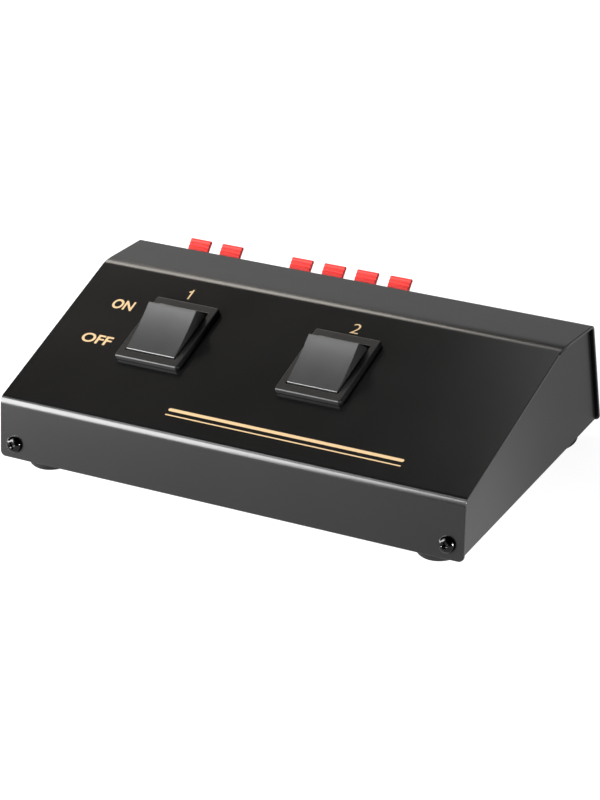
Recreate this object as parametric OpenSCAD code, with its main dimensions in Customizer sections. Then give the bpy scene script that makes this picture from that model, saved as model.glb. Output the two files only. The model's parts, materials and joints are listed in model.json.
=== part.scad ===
// Two-channel speaker selector: a folded steel case with two double-pole rocker
// switches on its sloping panel and spring-lever wire terminals on its rear wall.
// Units are millimetres. X runs across the front, Y to the rear, Z up from the desk.

/* [Case] */
// Width of the case
case_w = 180; // [170:1:240]
// Length of the leaning front lip
lip_len = 20.8; // [18:0.2:26]
// Lean of the front lip from upright, in degrees
lip_lean = 13.7; // [5:0.1:20]
// Length of the sloping control panel
panel_len = 71.3; // [66:0.5:90]
// Rise of the control panel, in degrees
panel_tilt = 15.1; // [13:0.1:18]
// Length of the top strip
top_len = 22.5; // [20:0.5:30]
// Fall of the top strip towards the rear, in degrees
top_fall = 6.9; // [2:0.1:8]
// Thickness of the sheet steel
sheet = 1; // [0.8:0.1:1.2]
// Outside radius of the folds
fold_r = 1.8; // [1.5:0.1:2.4]
// Radius of the lip's lower corners
corner_r = 2; // [1:0.5:5]
// Radius of the rear wall's lower corners
rear_corner_r = 1.5; // [1:0.5:5]
// Step from the cover's edges in to the side panels
side_inset = 1.2; // [0.8:0.1:2]
// Gap between nested sheets
nest_gap = 0.15; // [0.1:0.05:0.3]
// Height of the cover's bottom edges above the desk
desk_gap = 4.7; // [4:0.1:7]
// Height of the tray's underside above the cover's bottom edges
tray_rise = 0.5; // [0.2:0.1:1.5]

/* [Screws and feet] */
// Shank diameter of the screws
screw_d = 2.9; // [2.5:0.1:3.1]
// Head diameter of the screws
head_d = 5.8; // [5:0.1:6.4]
// Head height of the screws
head_h = 2.2; // [1.6:0.1:2.6]
// Clearance around a screw in its hole, on the diameter
screw_play = 0.3; // [0.1:0.05:0.5]
// Distance of the case screws from the cover's side edges
screw_in = 6; // [5.5:0.1:8]
// Distance of the case screws from the cover's bottom edges
screw_up = 5.1; // [4.8:0.1:7]
// Width of the tray's screw tabs
tab_w = 7.2; // [6.4:0.1:8]
// Height of the tray's screw tabs
tab_h = 9; // [8:0.5:12]
// Diameter of the rubber feet
foot_d = 17; // [14:0.5:20]
// Distance of the front feet's centres from the cover's side edges
foot_side_front = 14.2; // [12:0.1:30]
// Distance of the rear feet's centres from the cover's side edges
foot_side_rear = 12.2; // [12:0.1:30]
// Distance of the front feet's centres from the front edge
foot_front = 11; // [11:0.5:20]
// Distance of the rear feet's centres from the rear wall
foot_rear = 11.8; // [10:0.1:24]
// Rounding of a foot's lower edge
foot_edge = 2; // [0.5:0.1:2.5]

/* [Rocker switches] */
// Distance of the first switch's centre from the cover's left edge
switch_1_in = 43.2; // [30:0.1:50]
// Distance between the centres of the two switches
switch_step = 63.8; // [50:0.1:80]
// Distance of the switches' centres up the panel from the front fold
switch_s = 42.5; // [40:0.1:50]
// Width of the bezel
bezel_w = 25.6; // [24.5:0.1:27]
// Length of the bezel
bezel_l = 30.2; // [30:0.1:34]
// Height of the bezel above the panel
bezel_h = 1.9; // [1.6:0.1:2.1]
// Bevel along the bezel's top edge
bezel_bevel = 0.4; // [0.3:0.1:1]
// Width of the well that the rocker moves in
well_w = 20; // [19:0.1:20.2]
// Length of the well
well_l = 23.6; // [23.4:0.1:24.4]
// Width of the switch body under the panel
body_w = 21.8; // [21.4:0.1:22.6]
// Length of the switch body under the panel
body_l = 27.8; // [27.2:0.1:28.6]
// Depth of the switch body under the panel
body_deep = 17.1; // [16.5:0.1:17.9]
// Clearance between switch body and panel cut-out
cut_play = 0.2; // [0.1:0.05:0.4]
// Clearance between rocker and well
rocker_play = 0.3; // [0.2:0.05:0.5]
// Length of the rocker's pressed face
face_l = 18.8; // [17:0.1:19]
// Height of the rocker's face over its pivot
face_h = 8.1; // [8:0.1:8.6]
// Depth of the hollow in the rocker's face
face_dip = 0.45; // [0.1:0.05:0.8]
// Depth of the pivot under the panel's surface
pivot_deep = 3; // [2.8:0.1:3.5]
// Travel of the rocker, in degrees
throw = 32; // [24:1:34]
// Travel of the contact blades, in degrees
blade_throw = 16; // [10:1:18]
// Distance of each pole from the switch's centre plane
pole_x = 5; // [4:0.1:5.4]
// Length of the solder tabs below the switch body
tab_drop = 7.5; // [5:0.1:8]

/* [Wire terminals] */
// Distance of the input terminal's centre from the cover's left edge
input_in = 26.4; // [24:0.1:28]
// Distance between the centres of the two-column input and the four-column output terminal
terminal_step = 55.4; // [55:0.1:70]
// Distance between terminal columns
pitch = 13.2; // [12.6:0.1:13.4]
// Height of the terminals' centre line above the cover's bottom edge
row_mid = 18.6; // [18.4:0.1:19.4]
// Thickness of the terminals' face plate
plate_t = 2.2; // [1.6:0.1:2.6]
// Height of the face plate
plate_h = 30.4; // [30:0.1:32]
// Thickness of the raised rib with the wire holes
rib_t = 3.6; // [3:0.1:4]
// Diameter of the wire holes
wire_hole_d = 3.8; // [3:0.1:4]
// Distance of the wire holes from the centre line
wire_up = 3.2; // [3.1:0.1:3.4]
// Width of a lever
lever_w = 8.3; // [7:0.1:9]
// Clearance beside a lever
lever_play = 0.3; // [0.2:0.05:0.5]
// Distance of the lever pivots from the centre line
hinge_up = 8.8; // [8.6:0.1:9.2]
// Diameter of the lever pivots
hinge_d = 2.2; // [1.8:0.1:2.6]
// Travel of a lever, in degrees
lever_throw = 28; // [15:1:30]
// Diameter of the connecting wires
wire_d = 1.6; // [1.2:0.1:1.8]

/* [Hidden] */

// Round detail
$fn = 48;
// Small amount by which a cut runs past a surface
over = 0.5;

// Colours
steel_black = "#3a3a3c";
tray_black = "#4a4a4c";
plastic_black = "#232325";
rocker_grey = "#55575a";
lever_red = "#e0342e";
rubber_black = "#1a1a1a";
brass_yellow = "#c9a45a";
zinc_grey = "#b9bcc0";
screw_black = "#151515";
wire_red = "#b02020";
wire_black = "#202020";

// Case section in the plane of Y and Z, from the foot of the lip over the top to the rear
lip_dir = [sin(lip_lean), cos(lip_lean)];
panel_dir = [cos(panel_tilt), sin(panel_tilt)];
top_dir = [cos(top_fall), -sin(top_fall)];
p_lip = [0, desk_gap];
p_front = p_lip + lip_len * lip_dir;
p_ridge = p_front + panel_len * panel_dir;
p_back = p_ridge + top_len * top_dir;
p_heel = [p_back[0], desk_gap];
section = [p_lip, p_front, p_ridge, p_back, p_heel];
rear_y = p_back[0];
tray_z = desk_gap + tray_rise;
side_x = case_w / 2 - side_inset;
screw_x = case_w / 2 - screw_in;
switch_1_x = switch_1_in - case_w / 2;
switch_2_x = switch_1_x + switch_step;
input_x = input_in - case_w / 2;
output_x = input_x + terminal_step;
fold_steps = 8;

// Screws
hole_r = (screw_d + screw_play) / 2;
tap_r = screw_d / 2 + 0.05;
case_screw_l = 7;

// Feet
foot_sink = 2.8;
foot_sink_r = head_d / 2 + 0.5;

// Switch parts, measured from the pivot of the rocker
rocker_w = well_w - 2 * rocker_play;
rocker_wall = 1.3;
rocker_r = well_l / 2 - rocker_play;
rocker_pin_r = 1.5;
rocker_pin_in = 0.1;
pin_boss = 1.2;
inside_w = rocker_w - 2 * rocker_wall;
pin_play = 0.05;
post_r = 2.7;
plunger_r = 1.6;
blade_t = 0.8;
blade_reach = 8.6;
blade_w = 4.6;
blade_z = -10.2;
blade_bend = blade_throw / 2;
stud_r = 1.3;
stud_h = 0.5;
fixed_a = 7.2;
tab_t = 0.8;
tab_wide = 4.8;
plunger_tip = blade_z + blade_t + 0.05;
post_foot = -4.5;
post_top = 6.4;
post_cap = 1;
floor_t = 1.6;
tab_end = -(body_deep - pivot_deep) - tab_drop;
snap_out = 0.9;
snap_l = 5;
snap_w = 6;

// Terminal parts, in the plane of outward distance and height over the centre line
block_deep = 12;
wall_in = 1.4;
ear_out = 5.6;
ear_h = 9;
chamber_w = lever_w + 2 * lever_play;
chamber_low = 1.5;
chamber_top = 13.5;
window_low = 6.5;
rib_h = 6.2;
mouth = 0.7;
mouth_out = 0.1;
row_z = desk_gap + row_mid;
hinge_out = -1;
hub_r = 2;
elbow = [4.4, 11.9];
tip = [8.4, 15.6];
arm_t = 1.8;
blade_tip_t = 1.2;
bead_r = 0.7;
grip_r = 0.24;
nose = [-2.8, 3.8];
nose_t = 1.2;
nose_w = 1.7;
pin_out = 1;
leaf_t = 0.4;
leaf_w = 7.6;
leaf_u = -4.1;
leaf_top = chamber_top - 0.2 - leaf_t / 2;
leaf_bend = 1.4;
leaf_tail = -17;
tail_l = 4.5;
tail_in = 0.2;
tail_hole = [1.6, 0.8];
leaf_foot = chamber_low + 0.2;
leaf_window_w = 4.2;
leaf_window = [wire_up - 1.7, wire_up + 2.1];
nut_af = 5.5;
nut_h = 2.4;
tail_y = rear_y + leaf_tail;

// Wires
wire_seat = 0.3;
feed_out = [4, 0.3];
feed_low = [14, 8];
feed_rise = [9.5, 10];
feed_end = [5, 9];
end_lead = [0, 2.5, 1];
link_up = 1;
link_out = 2.2;
link_run = 3;
output_up = 5.4;
output_side = [1.6, 2.2];
output_out = [0.3, 4, 8];
output_past = 1;
output_lane = [8.5, -1];
output_rise = [6, 3];
output_step = 5;
return_lead = 2;
return_run = 2.5;
return_lane = [[-3.8, -2.3], [-3.8, 3.4]];
tab_face = tab_t / 2 + wire_seat;
tab_mid = tab_end + 3.4;
link_lane = fixed_a / 2;
pair_gap = 3.2;

// The origin lies midway between the front screw heads and the lever tips
front_reach = head_h * cos(lip_lean) - screw_up * sin(lip_lean) + head_d / 2 * sin(lip_lean);
rear_reach = tip[0] + bead_r;
mid_y = (rear_y + rear_reach - max(front_reach, 0)) / 2;

// ---- Helpers ----

function unit(v) = v / norm(v);
function inward(p, q) = let (d = unit(q - p)) [d[1], -d[0]];
function mitre(a, b) = (a + b) / (1 + a * b);
function flipped(list) = [for (i = [len(list) - 1 : -1 : 0]) list[i]];

// The path moved inward by t, with mitred corners
function inset_path(path, t) = [for (i = [0 : len(path) - 1])
  i == 0 ? path[0] + t * inward(path[0], path[1])
  : i == len(path) - 1 ? path[i] + t * inward(path[i - 1], path[i])
  : path[i] + t * mitre(inward(path[i - 1], path[i]), inward(path[i], path[i + 1]))];

// Points of the round that replaces corner i of the path
function round_at(path, i, r) = let (
    a = inward(path[i - 1], path[i]),
    b = inward(path[i], path[i + 1]),
    c = path[i] + r * mitre(a, b),
    t0 = atan2(-a[1], -a[0]),
    t1 = atan2(-b[1], -b[0]))
  [for (k = [0 : fold_steps]) let (t = t0 + (t1 - t0) * k / fold_steps) c + r * [cos(t), sin(t)]];

// The section line at depth t below the outer skin, its folds rounded and its ends run past the edges
function skin(t) = let (
    path = inset_path(section, t),
    last = len(path) - 1,
    r = max(fold_r - t, 0.2))
  concat([path[0] - over * unit(path[1] - path[0])],
    [for (i = [1 : last - 1]) each round_at(path, i, r)],
    [path[last] + over * unit(path[last] - path[last - 1])]);

// Extrudes a shape drawn in Y and Z along X, centred on X = 0
module along_x(w) {
  translate([-w / 2, 0, 0])
    rotate([90, 0, 90])
      linear_extrude(w) children();
}

// Moves the finished piece so that the origin is under the middle of the object
module in_place() {
  translate([0, -mid_y, 0]) children();
}

// Local Z points out of the lip, local Y runs up it from its bottom edge
module on_lip() {
  translate([0, p_lip[0], p_lip[1]]) rotate([90 - lip_lean, 0, 0]) children();
}

// Local Z points out of the rear wall, local Y runs up it from its bottom edge
module on_rear() {
  translate([0, rear_y, desk_gap]) rotate([90, 0, 180]) children();
}

// Local Z points out of the control panel, at the centre of a switch
module on_panel(x) {
  translate([x, p_front[0], p_front[1]]) rotate([panel_tilt, 0, 0]) translate([0, switch_s, 0]) children();
}

// Local Y points out of the rear wall, at the centre of a terminal
module on_terminal(x) {
  translate([x, rear_y, row_z]) children();
}

module rounded_rect(w, l, r) {
  for (x = [-1, 1])
    for (y = [-1, 1])
      translate([x * (w / 2 - r), y * (l / 2 - r)]) circle(r);
  square([w - 2 * r, l], center = true);
  square([w, l - 2 * r], center = true);
}

// A straight bar of thickness t between two points
module bar(p, q, t) {
  translate(p)
    rotate(atan2(q[1] - p[1], q[0] - p[0]))
      translate([0, -t / 2]) square([norm(q - p), t]);
}

// Pan-head screw, its head standing on Z = 0 and its shank pointing down
module pan_screw(shank_l) {
  dome_r = (pow(head_d / 2, 2) + pow(head_h * 0.6, 2)) / (2 * head_h * 0.6);
  difference() {
    union() {
      cylinder(d = head_d, h = head_h * 0.4);
      intersection() {
        translate([0, 0, head_h - dome_r]) sphere(dome_r);
        translate([0, 0, head_h * 0.4]) cylinder(d = head_d, h = head_h);
      }
      translate([0, 0, -shank_l]) cylinder(d = screw_d, h = shank_l + 0.1);
    }
    for (turn = [0, 90])
      rotate(turn)
        translate([-head_d * 0.3, -0.4, head_h * 0.35]) cube([head_d * 0.6, 0.8, head_h]);
  }
}

// ---- Case ----

// The waste below a flange's bottom edge and outside its two rounded corners
module flange_waste(r) {
  translate([0, 0, -2 * sheet])
    linear_extrude(3 * sheet)
      difference() {
        translate([-case_w / 2 - over, -2 * over]) square([case_w + 2 * over, r + 2 * over]);
        translate([0, 2 * r]) rounded_rect(case_w, 4 * r, r);
      }
}

module top_cover() {
  color(steel_black)
    in_place()
      difference() {
        along_x(case_w) polygon(concat(skin(0), flipped(skin(sheet))));
        on_lip() flange_waste(corner_r);
        on_rear() flange_waste(rear_corner_r);
        for (x = [-screw_x, screw_x]) {
          on_lip() translate([x, screw_up, -2 * sheet]) cylinder(r = hole_r, h = 3 * sheet);
          on_rear() translate([x, screw_up, -2 * sheet]) cylinder(r = hole_r, h = 3 * sheet);
        }
        for (x = [switch_1_x, switch_2_x])
          on_panel(x)
            translate([0, 0, -sheet / 2])
              cube([body_w + 2 * cut_play, body_l + 2 * cut_play, 3 * sheet], center = true);
        for (t = [[input_x, 2], [output_x, 4]])
          on_terminal(t[0]) {
            translate([0, -sheet / 2, 0])
              cube([block_w(t[1]) + 2 * cut_play, 3 * sheet, 2 * block_h() + 2 * cut_play], center = true);
            for (side = [-1, 1])
              translate([side * ear_x(t[1]), 0, 0]) rotate([90, 0, 0]) cylinder(r = hole_r, h = 4 * sheet, center = true);
          }
      }
}

module screw_tab(gap) {
  translate([-tab_w / 2, tray_rise + sheet / 2, -2 * sheet - gap]) cube([tab_w, tab_h, sheet]);
}

module base_tray() {
  inner = sheet + nest_gap;
  floor_front = (tray_rise + sheet) * tan(lip_lean) + inner / cos(lip_lean);
  color(tray_black)
    in_place()
      difference() {
        union() {
          translate([-side_x, floor_front, tray_z])
            cube([2 * side_x, rear_y - inner - floor_front, sheet]);
          for (side = [0, 1])
            mirror([side, 0, 0])
              translate([side_x - sheet / 2, 0, 0])
                along_x(sheet)
                  intersection() {
                    polygon(skin(inner));
                    translate([0, tray_z]) square([rear_y, p_ridge[1]]);
                  }
          for (x = [-screw_x, screw_x]) {
            on_lip() translate([x, 0, 0]) screw_tab(nest_gap);
            on_rear() translate([x, 0, 0]) screw_tab(nest_gap);
          }
        }
        for (x = [-screw_x, screw_x]) {
          on_lip() translate([x, screw_up, -4 * sheet]) cylinder(r = tap_r, h = 4 * sheet);
          on_rear() translate([x, screw_up, -4 * sheet]) cylinder(r = tap_r, h = 4 * sheet);
        }
        for (f = foot_places)
          translate([f[0], f[1], tray_z - sheet]) cylinder(r = tap_r, h = 3 * sheet);
      }
}

module front_case_screws() {
  color(screw_black)
    in_place()
      for (x = [-screw_x, screw_x])
        on_lip() translate([x, screw_up, 0]) rotate(30) pan_screw(case_screw_l);
}

module rear_case_screws() {
  color(screw_black)
    in_place()
      for (x = [-screw_x, screw_x])
        on_rear() translate([x, screw_up, 0]) rotate(12) pan_screw(case_screw_l);
}

front_foot_x = case_w / 2 - foot_side_front;
rear_foot_x = case_w / 2 - foot_side_rear;
foot_places = [
  [-front_foot_x, foot_front], [front_foot_x, foot_front],
  [-rear_foot_x, rear_y - foot_rear], [rear_foot_x, rear_y - foot_rear]];

module foot(i) {
  r = foot_d / 2;
  edge = [for (a = [0 : 10 : 90]) [r - foot_edge + foot_edge * sin(a), foot_edge - foot_edge * cos(a)]];
  color(rubber_black)
    in_place()
      translate([foot_places[i][0], foot_places[i][1], 0])
        rotate_extrude()
          polygon(concat([[foot_sink_r, 0]], edge,
            [[r, tray_z], [hole_r, tray_z], [hole_r, foot_sink], [foot_sink_r, foot_sink]]));
}

module foot_screws() {
  color(zinc_grey)
    in_place()
      for (f = foot_places)
        translate([f[0], f[1], foot_sink]) rotate([180, 0, 0]) pan_screw(tray_z + 3 * sheet - foot_sink);
}

// ---- Rocker switches ----

module at_pivot() {
  translate([0, 0, -pivot_deep]) children();
}

// Side view of the rocker over its pivot, its face slightly hollow
function rocker_outline(shrink) = let (
    half = face_l / 2 - shrink,
    high = face_h - shrink,
    r = rocker_r - shrink,
    low = asin(-1 / r),
    high_angle = 17)
  concat(
    [for (k = [-6 : 6]) let (a = half * k / 6) [a, high - face_dip * (1 - pow(k / 6, 2))]],
    [for (k = [0 : 4]) let (t = high_angle + (low - high_angle) * k / 4) r * [cos(t), sin(t)]],
    [for (k = [4 : -1 : 0]) let (t = high_angle + (low - high_angle) * k / 4) r * [-cos(t), sin(t)]]);

module rocker(x) {
  color(rocker_grey)
    in_place()
      on_panel(x)
        at_pivot()
          rotate([throw / 2, 0, 0]) {
            difference() {
              union() {
                rocker_shell();
                rotate([0, 90, 0]) cylinder(r = rocker_pin_r, h = body_w - 2 * rocker_pin_in, center = true);
              }
              rotate([0, 90, 0]) cylinder(r = rocker_pin_r + 1, h = inside_w, center = true);
              for (side = [-1, 1]) plunger_socket(side);
            }
            for (side = [-1, 1])
              difference() {
                translate([side * pole_x, 0, post_foot]) cylinder(r = post_r, h = post_top - post_foot + post_cap);
                plunger_socket(side);
              }
          }
}

// The rocker's skin, open below, with a boss round each pin
module rocker_shell() {
  inside_r = rocker_r - rocker_wall;
  difference() {
    along_x(rocker_w) polygon(rocker_outline(0));
    along_x(inside_w) polygon(rocker_outline(rocker_wall));
    translate([0, 0, -2]) cube([inside_w, 2 * inside_r, 3], center = true);
  }
  for (side = [-1, 1])
    translate([side * (rocker_w - rocker_wall) / 2, 0, 0])
      rotate([0, 90, 0]) cylinder(r = rocker_pin_r + pin_boss, h = rocker_wall, center = true);
}

// The blind hole that holds a spring and its plunger
module plunger_socket(side) {
  translate([side * pole_x, 0, post_foot - over])
    cylinder(r = plunger_r + pin_play, h = post_top - post_foot);
}

module plunger(x, side) {
  color(plastic_black)
    in_place()
      on_panel(x)
        at_pivot()
          rotate([throw / 2, 0, 0])
            translate([side * pole_x, 0, plunger_tip]) {
              translate([0, 0, plunger_r]) sphere(plunger_r);
              translate([0, 0, plunger_r]) cylinder(r = plunger_r, h = 9);
            }
}

spring_r = 1.15;
spring_wire = 0.4;
spring_turns = 5;
spring_rings = 9;
spring_low = plunger_tip + plunger_r + 9 + spring_wire / 2 + 0.05;
spring_high = post_top - over - spring_wire / 2 - 0.05;

module spring(x, side) {
  path = [for (k = [0 : spring_turns * spring_rings])
    let (t = 360 * k / spring_rings)
      [spring_r * cos(t), spring_r * sin(t), (spring_high - spring_low) * k / (spring_turns * spring_rings)]];
  color(zinc_grey)
    in_place()
      on_panel(x)
        at_pivot()
          rotate([throw / 2, 0, 0])
            translate([side * pole_x, 0, spring_low]) tube(path, spring_wire / 2, 6);
}

// See-saw blade with two arms that bend up from its middle, the rear arm lying level at rest
module blade(x, side) {
  color(brass_yellow)
    in_place()
      on_panel(x)
        at_pivot()
          translate([side * pole_x, 0, blade_z])
            rotate([-blade_bend, 0, 0])
              for (way = [0, 1])
                mirror([0, way, 0])
                  rotate([blade_bend, 0, 0]) {
                    translate([-blade_w / 2, 0, 0]) cube([blade_w, blade_reach, blade_t]);
                    translate([0, fixed_a, -stud_h]) cylinder(r = stud_r, h = stud_h + 0.1);
                  }
}

// Centre terminal under the blade and front terminal under its front arm, for both poles
module switch_tabs(x) {
  color(brass_yellow)
    in_place()
      on_panel(x)
        at_pivot()
          for (side = [-1, 1])
            translate([side * pole_x, 0, 0]) {
              top = blade_z - 0.1;
              solder_tab(0, top);
              solder_tab(-fixed_a, top - stud_h);
            }
}

module solder_tab(a, top) {
  difference() {
    translate([-tab_wide / 2, a - tab_t / 2, tab_end]) cube([tab_wide, tab_t, top - tab_end]);
    translate([0, a, tab_end + 2]) rotate([90, 0, 0]) cylinder(r = 0.8, h = 2 * tab_t, center = true);
  }
}

module switch_housing(x) {
  floor_z = -body_deep + floor_t;
  color(plastic_black)
    in_place()
      on_panel(x)
        difference() {
          union() {
            hull() {
              linear_extrude(bezel_h - bezel_bevel) rounded_rect(bezel_w, bezel_l, 1);
              linear_extrude(bezel_h)
                rounded_rect(bezel_w - 2 * bezel_bevel, bezel_l - 2 * bezel_bevel, 0.6);
            }
            translate([-body_w / 2, -body_l / 2, -body_deep]) cube([body_w, body_l, body_deep + 0.1]);
            for (end = [0, 1])
              mirror([0, end, 0])
                translate([0, body_l / 2, -sheet - 0.1])
                  along_x(snap_w) polygon([[-0.1, 0], [snap_out, 0], [snap_out, -0.6], [0, -snap_l], [-0.1, -snap_l]]);
          }
          difference() {
            translate([-well_w / 2, -well_l / 2, floor_z]) cube([well_w, well_l, body_deep + bezel_h]);
            translate([-well_w / 2 - over, fixed_a - 1, floor_z - over])
              cube([well_w + 2 * over, 2, -pivot_deep + blade_z - 0.15 - stud_h - floor_z + over]);
          }
          at_pivot() {
            rotate([0, 90, 0]) cylinder(r = rocker_pin_r + pin_play, h = body_w + 2 * over, center = true);
            for (side = [-1, 1])
              for (a = [0, -fixed_a])
                translate([side * pole_x, a, -body_deep + pivot_deep])
                  cube([tab_wide + 0.1, tab_t + 0.1, 3 * floor_t], center = true);
          }
        }
}

// ---- Wire terminals ----

function block_w(columns) = columns * pitch;
function block_h() = chamber_top + 1;
function ear_x(columns) = block_w(columns) / 2 + wall_in + ear_out / 2 - 0.4;
function column_x(x, columns, i) = x + (i - (columns - 1) / 2) * pitch;

// Draws its children for the upper row (1) or mirrored for the lower row (-1)
module in_row(row) {
  mirror([0, 0, row > 0 ? 0 : 1]) children();
}

module terminal_body(x, columns) {
  w = block_w(columns) + 2 * wall_in;
  color(plastic_black)
    in_place()
      on_terminal(x)
        difference() {
          union() {
            rotate([90, 0, 180])
              linear_extrude(plate_t) {
                rounded_rect(w, plate_h, 1.5);
                rounded_rect(w + 2 * ear_out, ear_h, 3);
              }
            translate([-w / 2 + 1, 0, -rib_h]) cube([w - 2, rib_t, 2 * rib_h]);
            translate([-block_w(columns) / 2, -block_deep, -block_h()])
              cube([block_w(columns), block_deep + 0.1, 2 * block_h()]);
          }
          for (side = [-1, 1])
            translate([side * ear_x(columns), 0, 0]) rotate([90, 0, 0]) cylinder(r = hole_r, h = 4 * plate_t, center = true);
          for (i = [0 : columns - 1])
            for (row = [-1, 1])
              in_row(row)
                translate([column_x(0, columns, i), 0, 0]) terminal_cavity();
        }
}

// Room for one lever and its leaf, the wire hole with its bevelled mouth and the hinge bores
module terminal_cavity() {
  r = wire_hole_d / 2;
  translate([-chamber_w / 2, -block_deep - over, chamber_low])
    cube([chamber_w, block_deep + over, chamber_top - chamber_low]);
  translate([-chamber_w / 2, -over, window_low])
    cube([chamber_w, plate_t + 2 * over, chamber_top - window_low]);
  translate([0, 0, wire_up]) {
    rotate([-90, 0, 0]) cylinder(r = r, h = 2 * rib_t);
    translate([0, rib_t + mouth_out - mouth, 0]) rotate([-90, 0, 0]) cylinder(r1 = r, r2 = r + mouth, h = mouth);
  }
  translate([0, hinge_out, hinge_up])
    rotate([0, 90, 0]) cylinder(r = hinge_d / 2 + pin_play, h = lever_w + 2 * pin_out + 0.4, center = true);
}

module lever(x, columns, i, row, tint) {
  hub = [hinge_out, hinge_up];
  color(tint)
    in_place()
      on_terminal(column_x(x, columns, i))
        in_row(row) {
          along_x(lever_w) {
            translate(hub) circle(hub_r);
            bar(hub, elbow, arm_t);
            translate(elbow) circle(arm_t / 2);
            bar(elbow, tip, blade_tip_t);
            translate(tip) circle(bead_r);
            for (k = [1 : 3])
              translate(elbow + (tip - elbow) * (k + 0.2) / 4.2 + blade_tip_t / 2 * unit([elbow[1] - tip[1], tip[0] - elbow[0]]))
                circle(grip_r, $fn = 16);
          }
          for (side = [-1, 1])
            translate([side * (lever_w - nose_w) / 2, 0, 0])
              along_x(nose_w) {
                bar(hub, nose, nose_t);
                translate(nose) circle(nose_t / 2);
              }
          translate([0, hinge_out, hinge_up])
            rotate([0, 90, 0]) cylinder(r = hinge_d / 2, h = lever_w + 2 * pin_out, center = true);
        }
}

// Spring strip that runs in along the chamber's wall and hangs down behind the lever
module leaf(x, columns, i, row) {
  turn = [leaf_u - leaf_bend, leaf_top - leaf_bend];
  color(brass_yellow)
    in_place()
      on_terminal(column_x(x, columns, i))
        in_row(row)
          difference() {
            along_x(leaf_w) {
              translate([leaf_tail, leaf_top - leaf_t / 2]) square([turn[0] - leaf_tail, leaf_t]);
              intersection() {
                translate(turn) difference() {
                  circle(leaf_bend + leaf_t / 2);
                  circle(leaf_bend - leaf_t / 2);
                }
                translate(turn) square(2 * leaf_bend);
              }
              translate([leaf_u - leaf_t / 2, leaf_foot]) square([leaf_t, turn[1] - leaf_foot]);
            }
            translate([-leaf_window_w / 2, leaf_u - leaf_t, leaf_window[0]])
              cube([leaf_window_w, 2 * leaf_t, leaf_window[1] - leaf_window[0]]);
            for (side = [-1, 1])
              translate([side * (leaf_w / 2 + tail_in), leaf_tail, leaf_top])
                cube([leaf_w / 2, 2 * tail_l, 2 * leaf_t], center = true);
            translate([0, leaf_tail + tail_hole[0], leaf_top])
              cylinder(r = tail_hole[1], h = 2 * leaf_t, center = true);
          }
}

module terminal_screws() {
  color(zinc_grey)
    in_place()
      for (t = [[input_x, 2], [output_x, 4]])
        for (side = [-1, 1])
          on_terminal(t[0])
            translate([side * ear_x(t[1]), plate_t, 0]) rotate([-90, 0, 0]) pan_screw(plate_t + sheet + nut_h + 1.5);
}

module terminal_nuts() {
  color(zinc_grey)
    in_place()
      for (t = [[input_x, 2], [output_x, 4]])
        for (side = [-1, 1])
          on_terminal(t[0])
            translate([side * ear_x(t[1]), -sheet, 0])
              rotate([90, 0, 0])
                difference() {
                  cylinder(d = nut_af / cos(30), h = nut_h, $fn = 6);
                  translate([0, 0, -over]) cylinder(r = tap_r, h = nut_h + 2 * over);
                }
}

// ---- Wires ----

// Frames carried along a path, so that the tube doesn't twist
function turned(v, a, b) = let (axis = cross(a, b), c = a * b)
  norm(axis) < 0.0001 ? v : v * c + cross(axis, v) + axis * (axis * v) / (1 + c);
function tangent(path, i) = unit(path[min(i + 1, len(path) - 1)] - path[max(i - 1, 0)]);
function side_of(t) = unit(cross(t, abs(t[2]) < 0.9 ? [0, 0, 1] : [0, 1, 0]));
function carried(path, i = 0, side = undef) =
  i >= len(path) ? []
  : let (s = i == 0 ? side_of(tangent(path, 0)) : turned(side, tangent(path, i - 1), tangent(path, i)))
    concat([s], carried(path, i + 1, s));

module tube(path, r, n) {
  sides = carried(path);
  rings = len(path);
  points = [for (i = [0 : rings - 1])
    let (t = tangent(path, i), u = sides[i], v = cross(t, u))
      for (k = [0 : n - 1]) path[i] + r * (cos(360 * k / n) * u + sin(360 * k / n) * v)];
  walls = [for (i = [0 : rings - 2])
    for (k = [0 : n - 1])
      let (a = i * n + k, b = i * n + (k + 1) % n)
        each [[a, a + n, b], [b, a + n, b + n]]];
  polyhedron(points, concat([[for (k = [0 : n - 1]) k]], walls,
    [[for (k = [n - 1 : -1 : 0]) (rings - 1) * n + k]]));
}

// A smooth curve through the given points
function blend_pt(p, q, r, s, t) = 0.5 * ((2 * q) + (r - p) * t + (2 * p - 5 * q + 4 * r - s) * t * t
  + (3 * q - p - 3 * r + s) * t * t * t);
function smooth(pts, n = 4) = let (last = len(pts) - 1) concat(
  [for (i = [0 : last - 1])
    for (k = [0 : n - 1])
      blend_pt(pts[max(i - 1, 0)], pts[i], pts[i + 1], pts[min(i + 2, last)], k / n)],
  [pts[last]]);

// A point beside the switch tabs: across the panel, along it from the pivot, and below the pivot
function under_switch(x, a, h) = [x,
  p_front[0] + (switch_s + a) * panel_dir[0] + (pivot_deep - h) * panel_dir[1],
  p_front[1] + (switch_s + a) * panel_dir[1] - (pivot_deep - h) * panel_dir[0]];

// A point behind a leaf's solder tail: column, distance in front of the tail, height sign
function behind_tail(x, back, row) = [x, tail_y - back, row_z + row * leaf_top];

module wire(pts) {
  tube(smooth(pts), wire_d / 2, 8);
}

// Red wires from the input terminal to the middle tabs of the first switch
module feed_wires() {
  color(wire_red)
    in_place()
      for (k = [0, 1]) {
        x0 = switch_1_x + (2 * k - 1) * pole_x;
        x1 = column_x(input_x, 2, k);
        end = behind_tail(x1, wire_seat, 1);
        wire([under_switch(x0, tab_face, tab_mid),
          under_switch(x0, tab_face + feed_out[0], tab_mid + feed_out[1]),
          [x0 + (x1 - x0) * 0.2, tail_y - feed_low[0], tray_z + feed_low[1]],
          [x0 + (x1 - x0) * 0.8, tail_y - feed_rise[0], tray_z + feed_rise[1]],
          [x1, tail_y - feed_end[0], end[2] - feed_end[1]],
          end - end_lead,
          end]);
      }
}

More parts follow.
